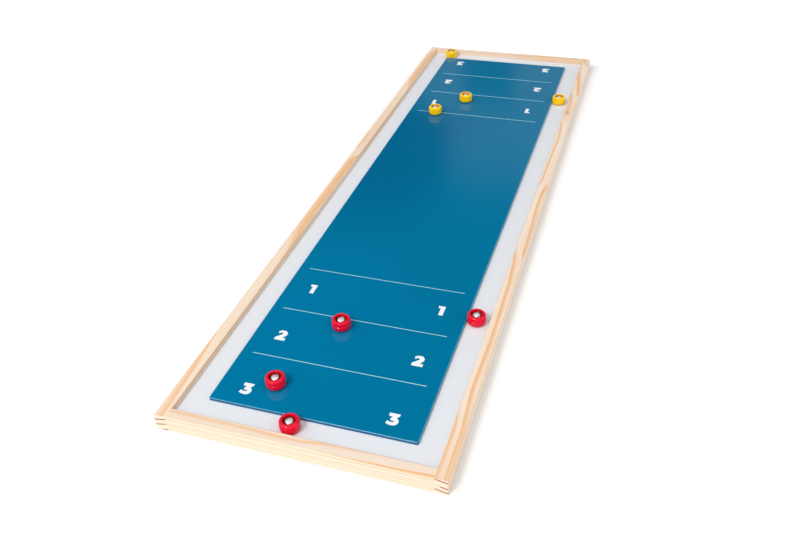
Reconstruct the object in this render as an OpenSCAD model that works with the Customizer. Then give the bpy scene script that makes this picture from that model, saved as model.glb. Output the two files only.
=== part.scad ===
// Tabletop shuffleboard: a pine tray with a white floor, a raised blue playing
// board with a gutter all round it, and eight rolling pucks. The tray's rails
// hold the floor in a groove, and the short rails' stub tenons sit in the same
// groove. Each puck is a two-part plastic shell round a captive steel ball.
// The origin is at the centre of the tray's underside, +Z is up, and the
// long way of the board lies along Y. All sizes are in millimetres.

/* [Tray] */
// Length of the tray over its short rails
tray_length = 1000; // [900:10:1100]
// Width of the tray over its long rails
tray_width = 300; // [260:5:340]
// Height of the rails
rail_height = 19; // [18:0.5:24]
// Thickness of the rails
rail_thick = 13; // [10:0.5:14]
// Radius of the sanded edges of the rails
rail_ease = 1; // [0.5:0.1:1.4]

/* [Floor] */
// Thickness of the white floor panel
floor_thick = 3; // [2.5:0.1:3.5]
// Height of the floor's upper face above the table
floor_top = 12; // [11:0.5:13]
// Depth of the groove that holds the floor and the stub tenons
groove_depth = 5.5; // [4:0.5:7]

/* [Playing board] */
// Width of the gutters beside the playing board
side_gutter = 26.5; // [25:0.5:32]
// Width of the gutters at the playing board's two ends
end_gutter = 26; // [25:0.5:32]
// Thickness of the playing board
board_thick = 3.6; // [3:0.1:5]
// Radius of the playing board's corners, seen from above
board_corner = 2; // [1:0.5:6]
// Radius of the playing board's upper edge
board_ease = 0.8; // [0.5:0.1:1.2]

/* [Puck] */
// Diameter of the puck at its seam
puck_diameter = 21.2; // [20.4:0.1:21.6]
// Height of the puck's shell
shell_height = 12.7; // [12.5:0.1:13]
// Diameter of the steel ball
ball_diameter = 12.7; // [12.3:0.1:12.7]
// Gap between the shell's underside and what the puck stands on
underside_gap = 0.4; // [0.2:0.1:0.6]
// Diameter of the hole in the shell's top
hole_diameter = 12.9; // [12.3:0.1:13.3]
// Diameter of the two collars that keep the ball in
collar_diameter = 11; // [10.6:0.1:11.4]
// Radius of the shell's upper outer edge
shell_edge = 2.6; // [2:0.1:2.8]
// Radius of the shell's lower outer edge
foot_edge = 3; // [2.4:0.1:3.4]
// Radius of the rim round the hole in the top
rim_edge = 0.6; // [0.4:0.1:0.8]

/* [Hidden] */
$fn = 96;

pine = [0.93, 0.78, 0.6];
white = [0.88, 0.9, 0.93];
blue = [0, 0.38, 0.53];
red = [0.85, 0.02, 0.12];
yellow = [1, 0.74, 0.02];
steel = [0.78, 0.78, 0.8];

// A cutter runs this far past what it cuts
past = 1;

// Rails, and the room that the groove leaves round what sits in it
inner_length = tray_length - 2 * rail_thick;
inner_width = tray_width - 2 * rail_thick;
rail_bottom_ease = 0.4;
groove_play = 0.1;
panel_play = 0.4;
groove_middle = floor_top + (groove_play - floor_thick) / 2;

// Playing board
board_length = inner_length - 2 * end_gutter;
board_width = inner_width - 2 * side_gutter;
board_bottom_ease = 0.3;

// Puck, in its own frame: the ball stands on z = 0
puck_radius = puck_diameter / 2;
ball_radius = ball_diameter / 2;
shell_top = underside_gap + shell_height;
lower_share = 0.54;
seam = underside_gap + lower_share * shell_height;
shell_draft = 0.2;
seam_chamfer = 0.45;
ball_play = 0.08;
socket_radius = ball_radius + ball_play;
collar_radius = collar_diameter / 2;
collar_rise = sqrt(pow(socket_radius, 2) - pow(collar_radius, 2));
hole_radius = hole_diameter / 2;
spigot_radius = 8;
spigot_wall = 0.9;
spigot_height = 1.2;
spigot_play = 0.05;

// Where the pucks stand. Places along and across the board are shares of its
// half length and half width, and a puck in a gutter lies a gap off its edge.
half_board = [board_width, board_length] / 2;
on_board = floor_top + board_thick;
in_gutter = floor_top;
function board_place(across, along) = [across * half_board.x, along * half_board.y, on_board];
function side_place(gap, along) =
    [half_board.x + puck_radius + gap, along * half_board.y, in_gutter];
function end_place(across, gap, end) =
    [across * half_board.x, end * (half_board.y + puck_radius + gap), in_gutter];
red_place_1 = board_place(-0.176, -0.701);
red_place_2 = board_place(-0.465, -0.925);
red_place_3 = side_place(0.35, -0.591);
red_place_4 = end_place(-0.132, 2.9, -1);
yellow_place_1 = board_place(-0.265, 0.612);
yellow_place_2 = board_place(-0.597, 0.487);
yellow_place_3 = side_place(0.25, 0.682);
yellow_place_4 = end_place(-0.947, 1.9, 1);

// Rectangle w by l round the origin, its corners rounded to r
module rounded_rectangle(w, l, r) {
    square([w - 2 * r, l], center = true);
    square([w, l - 2 * r], center = true);
    for (sx = [-1, 1], sy = [-1, 1])
        translate([sx * (w / 2 - r), sy * (l / 2 - r)])
            circle(r);
}

// Upright profile w wide and h tall, its upper corners rounded to rt, its lower ones to rb
module upright_profile(w, h, rt, rb) {
    translate([-w / 2, rb])
        square([w, h - rt - rb]);
    translate([-w / 2 + rt, h / 2])
        square([w - 2 * rt, h / 2]);
    translate([-w / 2 + rb, 0])
        square([w - 2 * rb, h / 2]);
    for (s = [-1, 1]) {
        translate([s * (w / 2 - rt), h - rt])
            circle(rt);
        translate([s * (w / 2 - rb), rb])
            circle(rb);
    }
}

// Stands a profile up and runs it along Y, centred on the origin
module along_y(length)
    translate([0, length / 2, 0])
        rotate([90, 0, 0])
            linear_extrude(length)
                children();

// Stands a profile up and runs it along X, centred on the origin
module along_x(length)
    translate([-length / 2, 0, 0])
        rotate([90, 0, 90])
            linear_extrude(length)
                children();

// Slab with rounded corners in plan and rounded upper and lower edges
module eased_slab(w, l, h, corner, rt, rb)
    intersection() {
        translate([0, 0, -past])
            linear_extrude(h + 2 * past)
                rounded_rectangle(w, l, corner);
        along_y(l + 2 * past)
            upright_profile(w, h, rt, rb);
        along_x(w + 2 * past)
            upright_profile(l, h, rt, rb);
    }

// Profile of the tray's opening that leaves the rails a rounded upper inner edge
module opening_profile(w) {
    translate([-w / 2, -past])
        square([w, rail_height + 2 * past]);
    difference() {
        translate([-w / 2 - rail_ease, rail_height - rail_ease])
            square([w + 2 * rail_ease, rail_ease + past]);
        for (s = [-1, 1])
            translate([s * (w / 2 + rail_ease), rail_height - rail_ease])
                circle(rail_ease);
    }
}

// The space inside the rails: its eased edges meet in mitres at the corners
module tray_opening()
    intersection() {
        along_y(tray_length)
            opening_profile(inner_width);
        along_x(tray_width)
            opening_profile(inner_length);
    }

// Cutter for the groove: as deep as it is in the long rails, and length long
module groove_cutter(length)
    translate([0, 0, groove_middle])
        cube([inner_width + 2 * groove_depth, length, floor_thick + groove_play], center = true);

// The four rails as one ring with the groove on its inside, before it is parted
module rail_ring()
    difference() {
        eased_slab(tray_width, tray_length, rail_height, rail_ease, rail_ease, rail_bottom_ease);
        tray_opening();
        groove_cutter(inner_length + 2 * groove_depth);
    }

// Long rail on side s: it runs the whole length, and so does its groove
module long_rail(s)
    color(pine)
        difference() {
            intersection() {
                rail_ring();
                translate([s * (tray_width + past) / 2, 0, rail_height / 2])
                    cube([
                        2 * rail_thick + past,
                        tray_length + past,
                        rail_height + past
                    ], center = true);
            }
            groove_cutter(tray_length + past);
        }

// Short rail at end s: it butts against the long rails, with a stub tenon in each groove
module short_rail(s)
    color(pine)
        intersection() {
            rail_ring();
            translate([0, s * tray_length / 2, 0]) {
                translate([0, 0, rail_height / 2])
                    cube([inner_width, 2 * rail_thick + past, rail_height + past], center = true);
                translate([0, 0, groove_middle])
                    cube([
                        inner_width + 2 * (groove_depth - groove_play),
                        2 * rail_thick + past,
                        floor_thick
                    ], center = true);
            }
        }

// White laminated panel, held in the grooves
module floor_panel()
    color(white)
        translate([0, 0, floor_top - floor_thick / 2])
            cube([
                inner_width + 2 * (groove_depth - panel_play),
                inner_length + 2 * (groove_depth - panel_play),
                floor_thick
            ], center = true);

// Raised board that the pucks are played on
module playing_board()
    color(blue)
        translate([0, 0, floor_top])
            eased_slab(
                board_width, board_length, board_thick,
                board_corner, board_ease, board_bottom_ease
            );

// Section of half a shell, from the seam at y = 0 up to its face: a drafted side, rounded by edge
module shell_half_section(height, edge) {
    side = puck_radius - shell_draft;
    polygon([
        [0, 0],
        [puck_radius - seam_chamfer, 0],
        [puck_radius, seam_chamfer],
        [side, height - edge],
        [side - edge, height],
        [0, height]
    ]);
    translate([side - edge, height - edge])
        circle(edge);
}

// Section of the hole in the shell's top: rolled rim, short wall, cone to the collar
module top_hole_section() {
    wall_foot = ball_radius + collar_rise + hole_radius - collar_radius;
    polygon([
        [0, ball_radius + collar_rise - past],
        [collar_radius, ball_radius + collar_rise - past],
        [collar_radius, ball_radius + collar_rise],
        [hole_radius, wall_foot],
        [hole_radius, shell_top + past],
        [0, shell_top + past]
    ]);
    difference() {
        translate([0, shell_top - rim_edge])
            square([hole_radius + rim_edge, rim_edge + past]);
        translate([hole_radius + rim_edge, shell_top - rim_edge])
            circle(rim_edge);
    }
}

// Section of the hole in the underside: the collar, then a cone that opens downwards
module bottom_hole_section() {
    collar_height = ball_radius - collar_rise;
    flare = collar_height - underside_gap + past;
    polygon([
        [0, collar_height + past],
        [collar_radius, collar_height + past],
        [collar_radius, collar_height],
        [collar_radius + flare / 2, collar_height - flare],
        [0, collar_height - flare]
    ]);
}

// Section of the ring that centres one shell half in the other
module spigot_section(play) {
    translate([spigot_radius - play, seam - spigot_height - play])
        square([spigot_wall + 2 * play, spigot_height + play + past]);
}

// Upper half of a puck's shell
module puck_top(place, colour)
    color(colour)
        translate(place)
            rotate_extrude()
                difference() {
                    union() {
                        translate([0, seam])
                            shell_half_section(shell_top - seam, shell_edge);
                        intersection() {
                            spigot_section(0);
                            square([puck_radius, seam + seam_chamfer]);
                        }
                    }
                    translate([0, ball_radius])
                        circle(socket_radius);
                    top_hole_section();
                }

// Lower half of a puck's shell: its socket is straight above the ball's middle, to let the ball in
module puck_bottom(place, colour)
    color(colour)
        translate(place)
            rotate_extrude()
                difference() {
                    translate([0, seam])
                        mirror([0, 1])
                            shell_half_section(seam - underside_gap, foot_edge);
                    translate([0, ball_radius]) {
                        circle(socket_radius);
                        square([socket_radius, seam]);
                    }
                    bottom_hole_section();
                    spigot_section(spigot_play);
                }

// Steel ball that carries the puck and rolls in its shell
module puck_ball(place)
    color(steel)
        translate(place + [0, 0, ball_radius])
            sphere(ball_radius);

long_rail(-1);  // left_rail
long_rail(1);  // right_rail
short_rail(-1);  // front_rail
short_rail(1);  // back_rail
floor_panel();
playing_board();
puck_top(red_place_1, red);  // red_puck_1_top
puck_bottom(red_place_1, red);  // red_puck_1_bottom
puck_ball(red_place_1);  // red_puck_1_ball
puck_top(red_place_2, red);  // red_puck_2_top
puck_bottom(red_place_2, red);  // red_puck_2_bottom
puck_ball(red_place_2);  // red_puck_2_ball
puck_top(red_place_3, red);  // red_puck_3_top
puck_bottom(red_place_3, red);  // red_puck_3_bottom
puck_ball(red_place_3);  // red_puck_3_ball
puck_top(red_place_4, red);  // red_puck_4_top
puck_bottom(red_place_4, red);  // red_puck_4_bottom
puck_ball(red_place_4);  // red_puck_4_ball
puck_top(yellow_place_1, yellow);  // yellow_puck_1_top
puck_bottom(yellow_place_1, yellow);  // yellow_puck_1_bottom
puck_ball(yellow_place_1);  // yellow_puck_1_ball
puck_top(yellow_place_2, yellow);  // yellow_puck_2_top
puck_bottom(yellow_place_2, yellow);  // yellow_puck_2_bottom
puck_ball(yellow_place_2);  // yellow_puck_2_ball
puck_top(yellow_place_3, yellow);  // yellow_puck_3_top
puck_bottom(yellow_place_3, yellow);  // yellow_puck_3_bottom
puck_ball(yellow_place_3);  // yellow_puck_3_ball
puck_top(yellow_place_4, yellow);  // yellow_puck_4_top
puck_bottom(yellow_place_4, yellow);  // yellow_puck_4_bottom
puck_ball(yellow_place_4);  // yellow_puck_4_ball
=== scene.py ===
# %% [markdown]
# # A tabletop shuffleboard, dressed in Blender
# The object is a long pine tray with a white floor and a raised blue playing board.
# Eight pucks stand on it, each a glossy plastic shell round a steel ball.
# Its exact solids come from a CAD model, so this lesson is about finishes, printing and light.
# The solids could be modelled again here by hand, but then they might drift from their true
# size. So they stay as they are, and each gets a material with the detail of the real one.

# %% Load the CAD model
import math

import bmesh
import bpy
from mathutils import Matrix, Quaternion, Vector


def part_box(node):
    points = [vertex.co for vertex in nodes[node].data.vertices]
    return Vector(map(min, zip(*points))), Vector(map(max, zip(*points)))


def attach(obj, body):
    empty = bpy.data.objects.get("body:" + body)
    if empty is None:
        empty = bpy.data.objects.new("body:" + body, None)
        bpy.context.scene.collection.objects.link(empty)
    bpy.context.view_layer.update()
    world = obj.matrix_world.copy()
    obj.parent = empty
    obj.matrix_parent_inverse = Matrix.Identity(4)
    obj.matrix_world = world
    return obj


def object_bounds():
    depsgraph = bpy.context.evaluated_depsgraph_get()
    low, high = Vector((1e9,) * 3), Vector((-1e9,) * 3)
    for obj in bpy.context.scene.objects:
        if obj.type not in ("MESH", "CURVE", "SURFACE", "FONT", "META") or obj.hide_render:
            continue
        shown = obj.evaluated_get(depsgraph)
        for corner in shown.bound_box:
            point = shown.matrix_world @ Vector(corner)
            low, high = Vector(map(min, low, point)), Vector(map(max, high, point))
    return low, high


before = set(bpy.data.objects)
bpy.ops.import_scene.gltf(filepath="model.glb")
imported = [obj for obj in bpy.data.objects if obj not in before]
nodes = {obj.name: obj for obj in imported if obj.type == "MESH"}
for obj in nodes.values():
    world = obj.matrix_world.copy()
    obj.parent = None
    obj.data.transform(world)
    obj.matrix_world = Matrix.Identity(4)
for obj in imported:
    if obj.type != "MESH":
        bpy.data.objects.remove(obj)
cad_low, cad_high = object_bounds()
print("CAD box in metres:", tuple(cad_low), tuple(cad_high))

# %% [markdown]
# Sizes that the finishes need are read from the solids, so that nothing is typed twice.
# The lesson speaks in millimetres, as the maker of a toy does, but Blender's unit here is the
# metre, so a length is written as a number times MM.

# %% Measure the solids
MM = 0.001

board_low, board_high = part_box("playing_board")
rail_low, rail_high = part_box("left_rail")
rail_thick = rail_high.x - rail_low.x
rail_top = rail_high.z
board_top = board_high.z
print(f"rails {rail_thick / MM:.1f} mm thick, board top {board_top / MM:.1f} mm up")

# %% [markdown]
# ## Camera
# The photograph looks down on the tray from beyond its near right corner. Solving the tray's
# corners as a perspective view gave the eye's place, the point it looks at, the slight tilt of
# the camera and its focal length. A camera can also be turned by three angles, but a place,
# an aim point and a roll say more to a reader.

# %% Place the camera
picture_width = 800
focal_length_in_pixels = 809.8
eye = Vector((0.2733, -0.9509, 0.5948))
aim = Vector((0.0085, -0.1986, board_top))
roll = math.radians(-2.774)

camera_data = bpy.data.cameras.new("camera")
camera_data.sensor_width = 36.0
camera_data.lens = focal_length_in_pixels / picture_width * camera_data.sensor_width
camera_data.clip_start = 0.01
camera_data.clip_end = 50.0
camera = bpy.data.objects.new("camera", camera_data)
bpy.context.scene.collection.objects.link(camera)
camera.location = eye
camera.rotation_mode = "QUATERNION"
level_view = (aim - eye).to_track_quat("-Z", "Y")
camera.rotation_quaternion = level_view @ Quaternion((0.0, 0.0, 1.0), roll)
bpy.context.scene.camera = camera
print(f"lens {camera_data.lens:.2f} mm, eye {(aim - eye).length:.3f} m from the aim point")

# %% [markdown]
# ## Shader maths as plain sums
# A finish such as pine needs much arithmetic on values that change from point to point.
# In the node editor each sum is a Math node with its wires. Here a small class stands for a
# wire, and a sum on it adds the Math node, so that a grain formula reads like a formula.

# %% A value that can be added and multiplied
class Value:
    """What a node gives out. Arithmetic on it adds Math nodes."""

    def __init__(self, tree, socket):
        self.tree = tree
        self.socket = socket

    def calc(self, operation, *others):
        """A Math node with this value in its first input and the others after it."""
        made = self.tree.nodes.new("ShaderNodeMath")
        made.operation = operation
        for slot, value in zip(made.inputs, (self, *others)):
            connect(self.tree, slot, value)
        return Value(self.tree, made.outputs[0])

    def __add__(self, other):
        return self.calc("ADD", other)

    __radd__ = __add__

    def __sub__(self, other):
        return self.calc("SUBTRACT", other)

    def __rsub__(self, other):
        return self.calc("MULTIPLY_ADD", -1.0, other)

    def __mul__(self, other):
        return self.calc("MULTIPLY", other)

    __rmul__ = __mul__

    def __truediv__(self, other):
        return self.calc("DIVIDE", other)

    def rise(self, start, end):
        """0 up to start, 1 from end on, with a smooth climb between. It falls if end is less."""
        made = self.tree.nodes.new("ShaderNodeMapRange")
        made.interpolation_type = "SMOOTHSTEP"
        connect(self.tree, made.inputs["Value"], self)
        made.inputs["From Min"].default_value = start
        made.inputs["From Max"].default_value = end
        return Value(self.tree, made.outputs[0])


def connect(tree, slot, value):
    """Wires a value into a socket, or types a number or colour into it."""
    if isinstance(value, Value):
        tree.links.new(value.socket, slot)
    else:
        slot.default_value = value


def socket_named(sockets, wanted):
    """The socket with that number, identifier or name."""
    if isinstance(wanted, int):
        return sockets[wanted]
    exact = [s for s in sockets if s.identifier == wanted]
    shown = [s for s in sockets if s.name == wanted and s.enabled]
    return (exact + shown)[0]


print("a value has plain sums and", [name for name in vars(Value) if not name.startswith("_")])

# %% [markdown]
# Any other node comes from one method: its type, its settings, what its sockets get, and the
# output that is wanted. Colours are blended by a Mix node, because a Math node turns them grey.

# %% A recipe of nodes
class Recipe:
    """The nodes of one material, or of the world."""

    def __init__(self, owner):
        owner.use_nodes = True
        self.owner = owner
        self.tree = owner.node_tree
        self.tree.nodes.clear()

    def node(self, kind, settings, sockets, output=0):
        """Adds a node, sets it up, wires it and gives one of its outputs."""
        made = self.tree.nodes.new(kind)
        for name, value in settings.items():
            if name == "stops":
                self.set_stops(made.color_ramp, value)
            else:
                setattr(made, name, value)
        for name, value in sockets.items():
            connect(self.tree, socket_named(made.inputs, name), value)
        return Value(self.tree, socket_named(made.outputs, output))

    def set_stops(self, ramp, stops):
        """Gives a ramp grey stops, each a place and a level, and runs a smooth curve through them."""
        ramp.interpolation = "CARDINAL"
        ramp.elements.remove(ramp.elements[1])
        ramp.elements[0].position = stops[0][0]
        for place, _ in stops[1:]:
            ramp.elements.new(place)
        for element, (_, level) in zip(ramp.elements, stops):
            element.color = (level, level, level, 1.0)

    def split(self, vector):
        """The three parts of a vector."""
        first = self.node("ShaderNodeSeparateXYZ", {}, {"Vector": vector})
        return [Value(self.tree, part) for part in first.socket.node.outputs]

    def join(self, x, y, z):
        """A vector from three values."""
        return self.node("ShaderNodeCombineXYZ", {}, {"X": x, "Y": y, "Z": z})

    def noise(self, x, y, z, detail=2.0):
        """Soft noise from 0 to 1 whose blobs are about one unit across."""
        sockets = {"Vector": self.join(x, y, z), "Scale": 1.0, "Detail": detail}
        return self.node("ShaderNodeTexNoise", {}, sockets)

    def blend(self, share, first, second):
        """The first colour where share is 0, the second where it is 1."""
        sockets = {"Factor_Float": share, "A_Color": first, "B_Color": second}
        return self.node("ShaderNodeMix", {"data_type": "RGBA"}, sockets, "Result_Color")

    def bump(self, height, depth):
        """A normal that shows height, from 0 to 1, as relief of that depth in metres."""
        return self.node("ShaderNodeBump", {}, {"Height": height, "Distance": depth})

    def place(self):
        """Where a point is on the object, in metres, as three values."""
        return self.split(self.node("ShaderNodeTexCoord", {}, {}, "Object"))

    def facing(self):
        """Which way the surface faces, as three values from -1 to 1."""
        return self.split(self.node("ShaderNodeTexCoord", {}, {}, "Normal"))

    def seen(self):
        """1 for what is seen, also in a mirror or through glass, and 0 for light that only falls."""
        kinds = ("Is Camera Ray", "Is Glossy Ray", "Is Transmission Ray")
        plain, mirrored, through = [
            self.node("ShaderNodeLightPath", {}, {}, kind) for kind in kinds
        ]
        return plain + mirrored + through

    def surface(self, sockets):
        """Ends a material's recipe in a Principled shader and gives the material."""
        shader = self.node("ShaderNodeBsdfPrincipled", {}, sockets)
        output = self.tree.nodes.new("ShaderNodeOutputMaterial")
        connect(self.tree, output.inputs["Surface"], shader)
        return self.owner


def new_recipe(name):
    """An empty recipe in a material of that name."""
    return Recipe(bpy.data.materials.new(name))


print("a recipe can make", [name for name in vars(Recipe) if not name.startswith("_")])

# %% [markdown]
# Shaders count in amounts of light. The colours here were read off a screen, whose levels from
# 0 to 255 are spaced for the eye, so each level goes through the screen's own curve.

# %% Colours as read off a screen
def linear(red, green, blue):
    """A colour in screen levels, turned into the light that shaders count in."""
    def one(level):
        share = level / 255
        return share / 12.92 if share <= 0.04045 else ((share + 0.055) / 1.055) ** 2.4
    return (one(red), one(green), one(blue), 1.0)


print("screen grey 128 is", round(linear(128, 128, 128)[0], 3), "of white light")

# %% [markdown]
# ## Pine
# The rails are sawn from pine, and its growth rings show on every face. An image of wood would
# have to be wrapped round each corner. Solid wood is simpler: how far a point lies from each
# ring follows from its place in the board, so face, edge and end grain agree by themselves.
#
# In these rails the rings lie nearly flat and rise a little towards the inside of the tray.
# A ring meets the upper face in a streak that wanders along the rail. Its path, read off the
# photograph, is a list of places along the rail and distances from the rail's outer side.
# A ring that stays below the upper face has a straight path, which is one distance. A ramp node
# draws a smooth curve through such a list.

# %% A value that changes along a rail
def read_off(recipe, along, length, path):
    """The value at a place along the rail, from a list of places and values or one number."""
    if not isinstance(path, list):
        return path
    values = [value for _, value in path]
    least = min(values)
    span = max(values) - least
    stops = [(place * MM / length + 0.5, (value - least) / span) for place, value in path]
    curve = recipe.node("ShaderNodeValToRGB", {"stops": stops}, {"Fac": along / length + 0.5})
    return curve * span + least


# %% [markdown]
# Within a year the wood starts pale in spring and darkens slowly to summer wood, which ends
# sharply where the next spring starts. No two years are alike, so each ring has a thickness of
# summer wood and a strength of its own. On end grain its line is broader and much darker.
# A knot is an oval with soft edges that reaches a few millimetres down. Lengths in the grain
# are in plain millimetres, because they are compared with one another only.

# %% Rings and knots
ring_edge = 0.12
end_line_thickness = 2.4
knot_half_length = 10
knot_half_breadth = 3.6
knot_slant = 0.2
knot_depth = 3.0


def ring_marks(recipe, grain, along, rings_height):
    """How much summer wood there is at a point, and how much of a line on end grain."""
    summer = 0.0
    end_line = 0.0
    for path, thickness, strength, end_strength in grain["rings"]:
        above = rings_height + read_off(recipe, along, grain["length"], path) * grain["rise"]
        edge = above.rise(0.0, ring_edge)
        summer = summer + edge * above.rise(thickness, 0.2 * thickness) * strength
        end_edge = above.rise(end_line_thickness, 0.35 * end_line_thickness)
        end_line = end_line + edge * end_edge * end_strength
    return summer, end_line


def knot_marks(grain, along, inward, up):
    """How much of a knot there is at a point."""
    knot = 0.0
    for place, offset in grain["knots"]:
        length = along / MM - place
        breadth = inward - offset - length * knot_slant
        long_share = length / knot_half_length
        broad_share = breadth / knot_half_breadth
        spread = long_share * long_share + broad_share * broad_share
        knot = knot + spread.rise(1.0, 0.1) * up.rise(-knot_depth, -knot_depth / 3)
    return knot


print(f"a knot is {2 * knot_half_length} mm long and {knot_depth} mm deep")
print(f"a line on end grain fades out within {end_line_thickness} mm")

# %% [markdown]
# Between the rings run faint lines, and on top come fibres, resin streaks and a drift of tone.
# All these are noise. The number beside a place says how many blobs there are to the metre, so
# fibres, with 2600 across the rail and 70 along it, are thin and long. Beside inward, up or the
# height of the rings, which are in millimetres, it says how many there are to the millimetre.
# The sides that face into the tray are painted a little browner, as painted shade.

# %% Pine finish
summer_wood = linear(240, 180, 118)
warm_wood = linear(238, 200, 162)
resin = linear(196, 128, 76)
# Painted shade: the brown given to the sides that face into the tray.
inner_shade_colour = linear(206, 168, 132)
end_wood = linear(247, 224, 204)
end_grain_line = linear(158, 70, 34)


def pine(name, grain):
    """Pine whose grain runs along a rail, as its grain settings say."""
    recipe = new_recipe(name)
    x, y, z = recipe.place()
    facing_x, facing_y, _ = recipe.facing()
    lengthwise = grain["axis"] == "Y"
    along, over = (y, x) if lengthwise else (x, y)
    facing_end, facing_side = (facing_y, facing_x) if lengthwise else (facing_x, facing_y)
    ends = facing_end.calc("ABSOLUTE").rise(0.6, 0.9)
    hand = 1 if grain["outside"] > 0 else -1
    inner_shade = (facing_side * hand).rise(-0.5, -0.9)
    inward = (grain["outside"] - over) * (hand / MM)
    up = (z - rail_top) / MM
    seed = grain["seed"]
    waver = recipe.noise(inward * 0.09 + seed, up * 0.09, along * 9 + seed) - 0.5
    ripple = recipe.noise(inward * 0.3, up * 0.3 + seed, along * 28) - 0.5
    rings_height = up + waver * 0.35 + ripple * 0.2 - inward * grain["rise"]
    summer, end_line = ring_marks(recipe, grain, along, rings_height)
    knot = knot_marks(grain, along, inward, up)

    faint = recipe.noise(rings_height * 1.3 + seed, along * 4, 0.5, 1.0).rise(0.5, 0.72)
    fibre = recipe.noise(over * 2600, z * 2600, along * 70, 3.0)
    broad = recipe.noise(over * 30, z * 30, along * 5 + seed, 2.0)
    streak = recipe.noise(over * 900, z * 900, along * 16 + seed, 1.0).rise(0.7, 0.8)

    wood = recipe.blend(faint * 0.2, grain["pale"], summer_wood)
    wood = recipe.blend(summer.calc("MINIMUM", 1.0), wood, summer_wood)
    warm = read_off(recipe, along, grain["length"], grain["warm"])
    wood = recipe.blend(broad.rise(0.45, 0.8) * 0.25 + warm, wood, warm_wood)
    wood = recipe.blend(streak * 0.25, wood, resin)
    wood = recipe.blend(knot * 0.48, wood, resin)
    # Painted shade: the sides that face into the tray are made browner.
    wood = recipe.blend(inner_shade * 0.2, wood, inner_shade_colour)
    wood = recipe.blend(ends, wood, recipe.blend(end_line, end_wood, end_grain_line))
    wood = recipe.blend(fibre.rise(0.45, 0.85) * 0.15, wood, summer_wood)
    relief = fibre * 0.6 + (1 - summer) * 0.4
    return recipe.surface({
        "Base Color": wood,
        "Roughness": 0.46 + 0.16 * fibre - 0.06 * summer,
        "IOR": 1.45,
        "Normal": recipe.bump(relief, 0.06 * MM),
    })


print("summer wood gives back", tuple(round(part, 2) for part in summer_wood[:3]), "of light")

# %% [markdown]
# Each rail is its own piece of wood. A ring is a path, then the thickness of its summer wood in
# millimetres, then how dark that is along the rail and on end grain. A path outside the rail,
# such as -4 or 18, keeps a ring off the upper face there. A knot is a place along the rail and
# a distance from its outer side. The warm list says how much browner the wood is at places
# along the rail.
#
# The right rail is the liveliest, with a knot and rings that come and go all along it.

# %% Right rail
tray_length = cad_high.y - cad_low.y
tray_width = cad_high.x - cad_low.x


def dress(name, finish):
    """Gives a node that one finish."""
    mesh = nodes[name].data
    mesh.materials.clear()
    mesh.materials.append(finish)


def dress_rail(name, grain):
    """Gives a rail its own piece of pine."""
    dress(name, pine(name + "_pine", grain))
    print(name, "has", len(grain["rings"]), "rings")


dress_rail("right_rail", {
    "axis": "Y", "length": tray_length, "outside": cad_high.x,
    "pale": linear(247, 230, 212), "rise": 0.22, "seed": 3.1,
    "knots": [(267, 6.7)],
    "warm": [
        (-500, 0.5), (-450, 0.25), (-380, 0), (210, 0), (265, 0.35), (330, 0.05), (460, 0.05),
        (500, 0.3),
    ],
    "rings": [
        (
            [(-500, 5), (-440, 5), (-400, 7.5), (-375, 8.3), (-340, 7.6), (-300, 7),
             (-200, 8.5), (-180, 10), (-150, 12.5), (-120, 18), (500, 18)],
            1.45, 0.9, 0.0,
        ),
        ([(-500, 12.8), (-440, 12.4), (-420, 14), (-390, 18), (500, 18)], 0.9, 0.95, 0.0),
        (
            [(-500, -4), (-165, -4), (-143, 2.5), (-100, 4), (-60, 5.5), (0, 6.5),
             (20, 4.5), (35, 1), (50, -4), (500, -4)],
            1.4, 0.9, 0.0,
        ),
        (
            [(-500, 18), (20, 18), (37, 12), (60, 11), (140, 10.3), (177, 8.8),
             (200, 10), (217, 11.5), (245, 18), (500, 18)],
            0.85, 1.0, 0.0,
        ),
        ([(-500, 18), (250, 18), (268, 10), (333, 12.5), (360, 18), (500, 18)], 1.2, 1.0, 0.0),
        (
            [(-500, -4), (315, -4), (333, 2), (370, 7), (400, 10.5), (433, 14.5), (460, 18),
             (500, 18)],
            2.1, 0.9, 0.0,
        ),
        ([(-500, -4), (440, -4), (465, 3), (480, 9), (500, 12)], 2.0, 0.6, 0.0),
        (17.1, 0.9, 0.4, 1.0),
        (53.6, 0.9, 0.4, 1.0),
        (77.9, 0.8, 0.4, 1.0),
    ],
})

# %% [markdown]
# The left rail has a broad streak along its inner edge. Another one wanders over to the outer
# side, and comes up there once more farther on.

# %% Left rail
dress_rail("left_rail", {
    "axis": "Y", "length": tray_length, "outside": cad_low.x,
    "pale": linear(245, 224, 202), "rise": 0.22, "seed": 7.4,
    "knots": [],
    "warm": [(-500, 0), (50, 0), (95, 0.4), (170, 0.35), (230, 0), (500, 0)],
    "rings": [
        (
            [(-500, 11), (-465, 9), (-430, 7), (-390, 4), (-367, 1.5), (-345, -4),
             (55, -4), (75, 2.5), (100, 5), (125, 3.5), (150, -1), (170, -4), (500, -4)],
            2.2, 0.65, 0.0,
        ),
        (
            [(-500, 31), (-300, 29), (-230, 24), (-200, 21), (-167, 15.5), (-133, 12.5),
             (35, 12.5), (47, 17), (60, 27), (290, 27), (310, 21), (345, 14.5), (430, 13.8),
             (470, 17), (500, 22)],
            3.6, 0.85, 1.0,
        ),
        (61.6, 0.9, 0.4, 0.9),
        (96.5, 0.8, 0.4, 0.9),
    ],
})

# %% [markdown]
# The front rail's outer side faces the camera, so its lower rings show there as four streaks.

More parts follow.
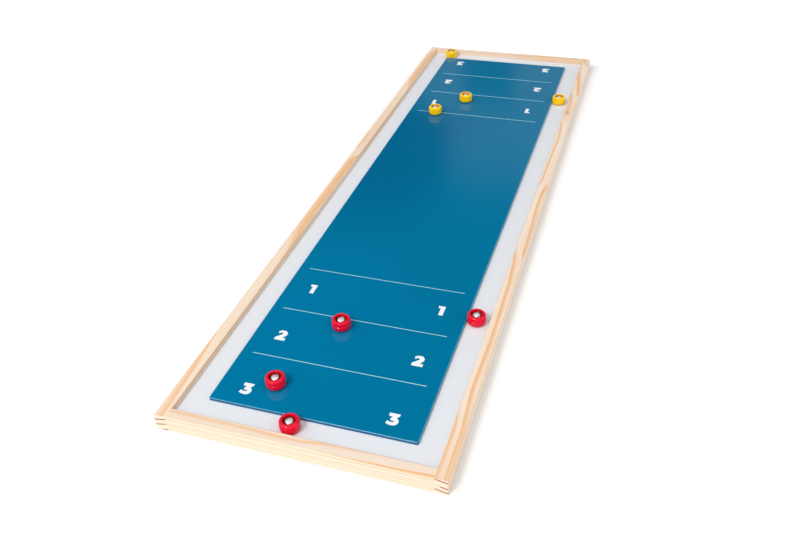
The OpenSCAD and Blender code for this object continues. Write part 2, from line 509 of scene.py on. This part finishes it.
# %% Front rail
dress_rail("front_rail", {
    "axis": "X", "length": tray_width, "outside": cad_low.y,
    "pale": linear(242, 224, 205), "rise": 0.2, "seed": 1.7,
    "knots": [],
    "warm": 0.0,
    "rings": [
        (
            [(-150, 11.5), (-50, 11), (-20, 10.3), (0, 10), (12, 11), (30, 13.5), (60, 15),
             (150, 17)],
            1.2, 0.65, 0.0,
        ),
        (
            [(-150, -4), (-5, -4), (10, 0.5), (60, 1.7), (100, 2.4), (136, 4), (150, 4.5)],
            0.8, 1.0, 0.0,
        ),
        (16, 0.9, 0.9, 0.0),
        (42, 0.9, 0.9, 0.0),
        (58, 0.9, 0.9, 0.0),
        (78, 0.9, 0.9, 0.0),
    ],
})

# %% [markdown]
# The back rail is seen only from far off. It has one streak, and a browner tone to the right.

# %% Back rail
dress_rail("back_rail", {
    "axis": "X", "length": tray_width, "outside": cad_high.y,
    "pale": linear(245, 228, 212), "rise": 0.15, "seed": 5.2,
    "knots": [],
    "warm": [(-150, 0), (0, 0.1), (80, 0.8), (150, 0.5)],
    "rings": [
        ([(-150, 22), (0, 19), (40, 14), (70, 9.5), (150, 9)], 2.0, 0.8, 0.0),
        (34, 0.8, 0.4, 0.0),
        (78, 1.0, 0.4, 0.0),
    ],
})

# %% [markdown]
# ## White floor panel
# The tray's floor is hardboard with a white laminate on its upper side. The bare brown back
# shows only from below. Both are one solid, so the way that the surface faces decides between
# them. A second material slot would do too, but then the CAD mesh would have to be divided.

# %% White laminate on hardboard
def laminate():
    """White above, bare pressed fibre below and on the edges."""
    recipe = new_recipe("white_laminate")
    x, y, z = recipe.place()
    _, _, facing_up = recipe.facing()
    white_side = facing_up.rise(0.2, 0.8)
    mottle = recipe.noise(x * 45, y * 45, 0.0, 3.0)
    grit = recipe.noise(x * 1800, y * 1800, 0.0, 2.0)
    felted = recipe.noise(x * 700, y * 700, z * 700, 4.0)
    scuffs = recipe.noise(x * 260, y * 12, 0.0, 2.0).rise(0.66, 0.74)
    white = recipe.blend(mottle * 0.5, linear(232, 235, 240), linear(224, 228, 235))
    white = recipe.blend(scuffs * 0.16, white, linear(196, 200, 208))
    brown = recipe.blend(felted.rise(0.35, 0.65), linear(122, 84, 52), linear(160, 116, 76))
    relief = white_side * grit * 0.3 + (1 - white_side) * felted
    return recipe.surface({
        "Base Color": recipe.blend(white_side, brown, white),
        "Roughness": 0.42 * white_side + 0.8 * (1 - white_side) + 0.08 * mottle,
        "IOR": 1.45,
        "Normal": recipe.bump(relief, 0.05 * MM),
    })


dress("floor_panel", laminate())
panel_low, panel_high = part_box("floor_panel")
print("laminate on a panel of", tuple(round(v / MM, 1) for v in panel_high - panel_low), "mm")

# %% [markdown]
# ## Blue playing board
# The board has a smooth satin lacquer, in which the pucks mirror softly. Such a surface is nearly
# flat in colour, so what gives it away is its gloss: a faint orange-peel ripple, hair lines along the
# way that pucks are shot, and places that hands have dulled a little. Its eased edge is painted pale
# blue, a painted highlight, and the sides below it are painted deeper blue, as painted shade. The
# blue is painted deeper left of the middle and paler at the near left: painted reflection of a darker
# and a paler part of the studio.

# %% Blue lacquer
def lacquer():
    """Satin blue lacquer with a faint ripple and fine wear along the board, a painted highlight on
    its edge, painted shade on its sides and patches of painted reflection.
    """
    recipe = new_recipe("blue_lacquer")
    x, y, z = recipe.place()
    cloud = recipe.noise(x * 14, y * 6, z, 3.0)
    peel = recipe.noise(x * 340, y * 340, z * 340, 1.0)
    hairlines = recipe.noise(x * 1500, y * 14, 0.0, 1.0).rise(0.7, 0.78)
    dust = recipe.noise(x * 900, y * 900, 3.0, 1.0).rise(0.74, 0.8)
    _, _, facing_up = recipe.facing()
    # The eased edge, where a painted highlight goes.
    edge_glint = facing_up.rise(0.3, 0.5) * facing_up.rise(0.97, 0.85)
    left = x.rise(50 * MM, -60 * MM)
    near = y.rise(-130 * MM, -270 * MM)
    middle = y.rise(-200 * MM, 20 * MM) * y.rise(280 * MM, 180 * MM)
    # Painted reflection: paler at the near left and deeper left of the middle, where the lacquer
    # mirrors more or less of the studio.
    blue = recipe.blend(left * near, linear(0, 116, 157), linear(0, 119, 163))
    blue = recipe.blend(left * middle, blue, linear(0, 104, 147))
    blue = recipe.blend(cloud * 0.15, blue, linear(0, 108, 150))
    blue = recipe.blend(hairlines * 0.02 + dust * 0.05, blue, linear(90, 160, 190))
    # Painted shade: the sides below the top are painted deeper blue.
    blue = recipe.blend(facing_up.rise(0.5, 0.2), blue, linear(0, 92, 138))
    # Painted highlight: the eased edge is painted pale blue.
    blue = recipe.blend(edge_glint * 0.8, blue, linear(120, 190, 212))
    relief = peel * 0.8 + hairlines * 0.2
    return recipe.surface({
        "Base Color": blue,
        "Roughness": 0.08 + 0.04 * cloud + 0.06 * hairlines,
        "IOR": 1.36,
        "Normal": recipe.bump(relief, 0.008 * MM),
    })


dress("playing_board", lacquer())
print("lacquer on a board of", tuple(round(v / MM, 1) for v in board_high - board_low), "mm")

# %% [markdown]
# ## Pucks
# A puck's shell is two glued halves of glossy plastic. Moulded plastic has deep, even colour
# and a hard shine, broken by flow marks from the mould and hairline scratches from play.
# Its upper face is painted a little greyer, a painted sheen. The hole is painted darker the deeper
# one looks, as painted shade. One recipe makes all eight, so that the teams differ in nothing but
# colour. It needs each puck's middle, because the hole is told by the distance from there.

# %% Glossy moulded plastic
first_ball_low, first_ball_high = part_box("red_puck_1_ball")
ball_radius = (first_ball_high.z - first_ball_low.z) / 2
hole_play = 0.1 * MM
hole_radius = ball_radius + hole_play
rim_blend = 0.15 * MM
pit_start = 1.0 * MM
pit_end = 3.0 * MM
# A team's colours: its paint, its flow marks, a painted sheen for the upper face, and painted shade
# for the top and the depth of the hole.
team_colours = {
    "red": {
        "paint": linear(238, 0, 50), "flow": linear(214, 0, 42), "handled": linear(220, 26, 52),
        "rim": linear(214, 0, 18), "pit": linear(92, 0, 6),
    },
    "yellow": {
        "paint": linear(255, 208, 2), "flow": linear(255, 192, 0), "handled": linear(252, 210, 48),
        "rim": linear(244, 160, 22), "pit": linear(160, 90, 6),
    },
}


def distance_from(middle, x, y):
    """How far a point lies from a puck's middle, its height left out."""
    east = x - middle.x
    north = y - middle.y
    return (east * east + north * north).calc("SQRT")


def plastic(name, middle, colours):
    """Glossy plastic, deeper in tone along flow marks, with a painted sheen on its upper face and
    painted shade ever darker down the hole.
    """
    recipe = new_recipe(name)
    x, y, z = recipe.place()
    ball_top = middle.z + ball_radius
    in_hole = distance_from(middle, x, y).rise(hole_radius + rim_blend, hole_radius)
    down_hole = z.rise(ball_top - pit_start, ball_top - pit_end)
    _, _, facing_up = recipe.facing()
    flow = recipe.noise(x * 160, y * 160, z * 160, 2.0)
    satin = recipe.noise(x * 1300, y * 1300, z * 1300, 2.0)
    scratches = recipe.noise(x * 3200, y * 260, z * 900, 1.0).rise(0.66, 0.76)
    paint = recipe.blend(flow.rise(0.3, 0.8) * 0.5, colours["paint"], colours["flow"])
    # Painted sheen: the upper face is painted greyer.
    paint = recipe.blend(facing_up.rise(0.6, 0.95) * 0.9, paint, colours["handled"])
    # Painted shade: the hole is painted darker the deeper it goes.
    painted_hole_shade = recipe.blend(down_hole, colours["rim"], colours["pit"])
    return recipe.surface({
        "Base Color": recipe.blend(in_hole, paint, painted_hole_shade),
        "Roughness": 0.13 + 0.05 * satin + 0.15 * scratches,
        "IOR": 1.33,
        "Normal": recipe.bump(satin * 0.4 + flow * 0.2 - scratches * 0.3, 0.015 * MM),
    })


print(f"the holes in the pucks are {2 * hole_radius / MM:.1f} mm wide")

# %% [markdown]
# The ball is steel. A perfect mirror would look like a hole with a picture in it, and this
# one is dulled by use, so its roughness is that of satin, with a trace of oil and fine pits.
# It is less than half metal to the shader, because worn steel scatters light like paint too.
# Where it disappears under the collar, a dark red ring is painted on: painted shade from the hole and
# a painted reflection of its red wall.

# %% Steel balls
# Painted shade and reflection: the dark red ring on a ball starts and ends at these distances from
# its middle.
shade_start_radius = 3.5 * MM
shade_full_radius = 4.5 * MM


def steel(name, middle):
    """Steel worn to satin, with a trace of oil and a painted ring of shade and red reflection near
    the collar.
    """
    recipe = new_recipe(name)
    x, y, z = recipe.place()
    collar_shade = distance_from(middle, x, y).rise(shade_start_radius, shade_full_radius)
    oil = recipe.noise(x * 500, y * 500, z * 500, 2.0)
    pits = recipe.noise(x * 4000, y * 4000, z * 4000, 1.0).rise(0.68, 0.75)
    bare = recipe.blend(oil.rise(0.35, 0.65), linear(252, 251, 247), linear(202, 200, 200))
    return recipe.surface({
        # Painted shade and reflection: the ball turns dark red near the collar.
        "Base Color": recipe.blend(collar_shade, bare, linear(104, 30, 26)),
        "Metallic": 0.45,
        "Roughness": 0.2 + 0.1 * oil + 0.2 * pits,
        "Normal": recipe.bump(pits * -1, 0.01 * MM),
    })


print(f"dirt starts {shade_start_radius / MM:.1f} mm from the middle of a ball, seen from above")

# %% [markdown]
# Both halves of a shell share one plastic, and shell and ball are painted round the same middle.

# %% Dress the pucks
pucks_in_a_team = 4
for team, colours in team_colours.items():
    for number in range(1, pucks_in_a_team + 1):
        puck = f"{team}_puck_{number}"
        ball_low, ball_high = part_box(puck + "_ball")
        middle = (ball_low + ball_high) / 2
        shell_finish = plastic(puck + "_plastic", middle, colours)
        dress(puck + "_top", shell_finish)
        dress(puck + "_bottom", shell_finish)
        dress(puck + "_ball", steel(puck + "_steel", middle))
print("pucks dressed:", pucks_in_a_team * len(team_colours))

# %% [markdown]
# ## Printing
# Three lines at each end part the scoring zones, and a 1, 2 or 3 stands at both sides of each
# zone. They are screen printed, which leaves a thin skin of white ink on the lacquer.
# They could be a mask in the lacquer's shader. Thin pieces of mesh keep their edges crisp at any
# distance instead, and a digit can then be drawn as an outline of lines and arcs.

# %% Ink
def ink(name, bright):
    """White screen-printing ink, a little uneven and bluish where it is thin."""
    recipe = new_recipe(name)
    x, y, _ = recipe.place()
    thin = recipe.noise(x * 1200, y * 1200, 0.0, 3.0).rise(0.45, 0.8)
    return recipe.surface({
        "Base Color": recipe.blend(thin * 0.5, bright, linear(206, 228, 238)),
        "Roughness": 0.4 + 0.1 * thin,
        "IOR": 1.45,
        "Normal": recipe.bump(thin, 0.01 * MM),
    })


digit_ink = ink("digit_ink", linear(246, 248, 250))
print("ink made:", digit_ink.name)

# %% [markdown]
# A printed shape is an outline with a front, a back and a thin side all round. It sinks a
# little into the board, so that no gap shows beneath it.

# %% A printed shape
ink_skin = 0.03 * MM
ink_key = 0.02 * MM


def print_shape(name, finish, outline):
    """A thin skin of ink on the board. The outline is given in metres, anticlockwise."""
    mesh = bpy.data.meshes.new(name)
    sheet = bmesh.new()
    below = [sheet.verts.new((x, y, board_top - ink_key)) for x, y in outline]
    above = [sheet.verts.new((x, y, board_top + ink_skin)) for x, y in outline]
    sheet.faces.new(above)
    sheet.faces.new(list(reversed(below)))
    for i, low in enumerate(below):
        after = (i + 1) % len(below)
        sheet.faces.new((low, below[after], above[after], above[i]))
    sheet.to_mesh(mesh)
    sheet.free()
    mesh.materials.append(finish)
    piece = bpy.data.objects.new(name, mesh)
    bpy.context.scene.collection.objects.link(piece)
    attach(piece, "tray")


print(f"ink stands {ink_skin / MM:.2f} mm proud of the board")

# %% [markdown]
# The lines are hairlines with round ends, and their thin ink lets some blue through. At the far end
# the lines are printed a little wider, and their ink is painted bluer: a painted reflection of the
# pale studio at that low angle.

# %% Zone lines
line_half_length = 97.3 * MM
first_line = 229.4 * MM
line_pitch = 78.8 * MM
lines_at_an_end = 3
arc_steps = 10


def arc(centre, radius, start, end):
    """Points on an arc, from one angle to another, in degrees anticlockwise from +X."""
    turns = [math.radians(start + (end - start) * i / arc_steps) for i in range(arc_steps + 1)]
    return [(centre[0] + radius * math.cos(t), centre[1] + radius * math.sin(t)) for t in turns]


def line_outline(y, half_width):
    """A strip across the board at that place, with round ends."""
    reach = line_half_length - half_width
    return arc((reach, y), half_width, -90, 90) + arc((-reach, y), half_width, 90, 270)


# The far ink's bluer colour is a painted reflection.
for end, sign, bright, half_width in (
    ("near", -1, linear(188, 238, 244), 0.39 * MM),
    ("far", 1, linear(176, 240, 255), 0.48 * MM),
):
    finish = ink(end + "_line_ink", bright)
    for number in range(1, lines_at_an_end + 1):
        y = sign * (first_line + (number - 1) * line_pitch)
        print_shape(f"{end}_line_{number}", finish, line_outline(y, half_width))
        print(f"{end} line {number} at y = {y / MM:.1f} mm")

# %% [markdown]
# The digits are plain, heavy and 16 mm tall. Each outline starts at the lower left corner of
# the digit and runs anticlockwise, in millimetres. Those at the far end stand upside down, for
# the player who sits there.

# %% Digits
digit_outlines = {
    1: [(3.3, 0), (8.3, 0), (8.3, 16), (0, 16), (0.9, 12.1), (3.3, 12.1)],
    2: (
        [(0, 0), (12.2, 0), (12.2, 4.3), (8.3, 4.3)]
        + arc((6.6, 10.9), 5.1, -38, 90)
        + arc((5.4, 9.9), 6.1, 96, 143)
        + [(1.9, 10.3)]
        + arc((4.7, 10.7), 1.7, 150, -35)
        + [(0, 3.9)]
    ),
    3: (
        arc((6.4, 12.9), 12.9, 240, 266)
        + arc((6.9, 5.3), 5.3, -90, 45)
        + [(8.9, 10.3), (11.3, 12.9), (11.4, 15.7), (0.3, 15.7), (0.7, 11.4), (4.7, 11.4)]
        + [(3.2, 8.8), (3.3, 6.6), (4.0, 6.1)]
        + arc((6.7, 5.2), 0.9, 90, -90)
        + [(3.9, 4.0), (0.8, 5.3)]
    ),
}
digit_widths = {1: 8.3, 2: 12.2, 3: 12.2}
digit_height = 16.0
digit_side = 78.6
digit_rows = {1: 266.9, 2: 353.3, 3: 438.8}

for end, sign in (("near", -1), ("far", 1)):
    for side, hand in (("left", -1), ("right", 1)):
        for digit, points in digit_outlines.items():
            middle_x = hand * digit_side
            middle_y = sign * digit_rows[digit]
            outline = [
                (
                    (middle_x - sign * (u - digit_widths[digit] / 2)) * MM,
                    (middle_y - sign * (v - digit_height / 2)) * MM,
                )
                for u, v in points
            ]
            print_shape(f"{end}_{side}_digit_{digit}", digit_ink, outline)
print("digits printed:", 4 * len(digit_outlines))

# %% [markdown]
# ## Floor and light
# The photograph's background is pure white, as of white paper in a studio that has lamps of
# its own. The floor is a plain white sheet that keeps the tray's shadow. A glow that starts a
# little way off the tray stands in for those lamps. Only the camera, mirroring surfaces and
# clear ones see it, so it puts no light on the tray. The floor lies a hair below the tray,
# because two surfaces in one place would flicker.

# %% White floor
floor_reach = 6.0
floor_gap = 0.05 * MM
glow_strength = 0.4
glow_start = 5 * MM
glow_full = 50 * MM
floor_mesh = bpy.data.meshes.new("floor")
sheet = bmesh.new()
bmesh.ops.create_grid(sheet, x_segments=12, y_segments=12, size=floor_reach)
sheet.to_mesh(floor_mesh)
sheet.free()
floor = bpy.data.objects.new("floor", floor_mesh)
floor.location.z = cad_low.z - floor_gap
bpy.context.scene.collection.objects.link(floor)

pure_white = linear(255, 255, 255)
pure_black = linear(0, 0, 0)
paper = new_recipe("paper")
floor_x, floor_y, _ = paper.place()
beside = floor_x.calc("ABSOLUTE") - cad_high.x
beyond = floor_y.calc("ABSOLUTE") - cad_high.y
off_tray = beside.calc("MAXIMUM", beyond)
glow = glow_strength * paper.seen() * off_tray.rise(glow_start, glow_full)
floor_mesh.materials.append(paper.surface({
    "Base Color": (0.95, 0.95, 0.95, 1.0),
    "Roughness": 0.9,
    "Specular IOR Level": 0.0,
    "Emission Color": paper.blend(glow, pure_black, pure_white),
    "Emission Strength": 1.0,
}))
print(f"floor {2 * floor_reach:.0f} m square")

# %% [markdown]
# The pale walls of the studio are the world. They are brighter overhead, and low down on the
# right, where white paper lights the tray's outer side. High up on the near side they are a
# little darker.
# Beyond the far end the studio is dark, because the board mirrors that part and looks deep
# blue, except for a grey panel that the board's far half mirrors on its right, with a narrow
# gap in it. A place on that wall is told by two slopes: how far to the right it lies, and how
# high, for each metre that it is beyond the tray.
#
# Lowest, all round, stands the white backdrop. Only the camera, mirroring surfaces and clear
# ones see how white it is, so it adds no light either.

# %% Studio walls
walls = Recipe(bpy.data.worlds.new("studio"))
bpy.context.scene.world = walls.owner
toward_x, toward_y, upward = walls.split(
    walls.node("ShaderNodeTexCoord", {}, {}, "Generated")
)
low_down = upward.rise(0.7, 0.1)
pale_walls = 0.74 + 0.3 * upward.rise(0.1, 0.95)
pale_walls = pale_walls + 0.4 * low_down * toward_x.rise(0.1, 0.7)
pale_walls = pale_walls + (0.18 * low_down - 0.16) * toward_y.rise(-0.2, -0.8)
across = toward_x / toward_y
height = upward / toward_y
gap = across.rise(-0.26, -0.24) * across.rise(-0.17, -0.19) * height.rise(0.485, 0.455)
panel_edge = across + 0.045 * height.rise(0.495, 0.478)
grey_panel = panel_edge.rise(-0.29, -0.25) * height.rise(0.64, 0.54) * (1 - gap)
ahead = toward_y.rise(0.25, 0.45) * upward.rise(0.88, 0.78) * height.rise(0.3, 0.38)
brightness = pale_walls * (1 - ahead) + ahead * (0.02 + 0.3 * grey_panel)
backdrop = upward.rise(0.28, 0.18) * walls.seen()
cool_white = (0.97, 0.985, 1.0, 1.0)
sky = {
    "Color": walls.blend(backdrop, cool_white, pure_white),
    "Strength": brightness * (1 - backdrop) + backdrop,
}
background = walls.node("ShaderNodeBackground", {}, sky)
world_output = walls.tree.nodes.new("ShaderNodeOutputWorld")
connect(walls.tree, world_output.inputs["Surface"], background)
print("world made:", walls.owner.name)

# %% [markdown]
# The main light is a soft box above the near left. The pucks mirror it on their edges. A lamp
# can be turned by angles, but a direction to it, a distance and a target are easier to read.

# %% Soft box
box_direction = Vector((-0.234, -0.647, 0.725))
box_distance = 4.0
box_target = Vector((0.0, -0.1, 0.0))

lamp = bpy.data.lights.new("soft_box", "AREA")
lamp.shape = "SQUARE"
lamp.size = 1.0
lamp.energy = 63.0
lamp.color = (1.0, 0.97, 0.93)
soft_box = bpy.data.objects.new("soft_box", lamp)
soft_box.location = box_target + box_direction * box_distance
soft_box.rotation_mode = "QUATERNION"
soft_box.rotation_quaternion = (-box_direction).to_track_quat("-Z", "Y")
bpy.context.scene.collection.objects.link(soft_box)
print(f"soft box of {lamp.energy} W at", tuple(round(v, 2) for v in soft_box.location))

# %% [markdown]
# ## Finish
# Colours should come out as they were written, so the view transform is the plain one.

# %% Finish
bpy.context.scene.view_settings.view_transform = "Standard"
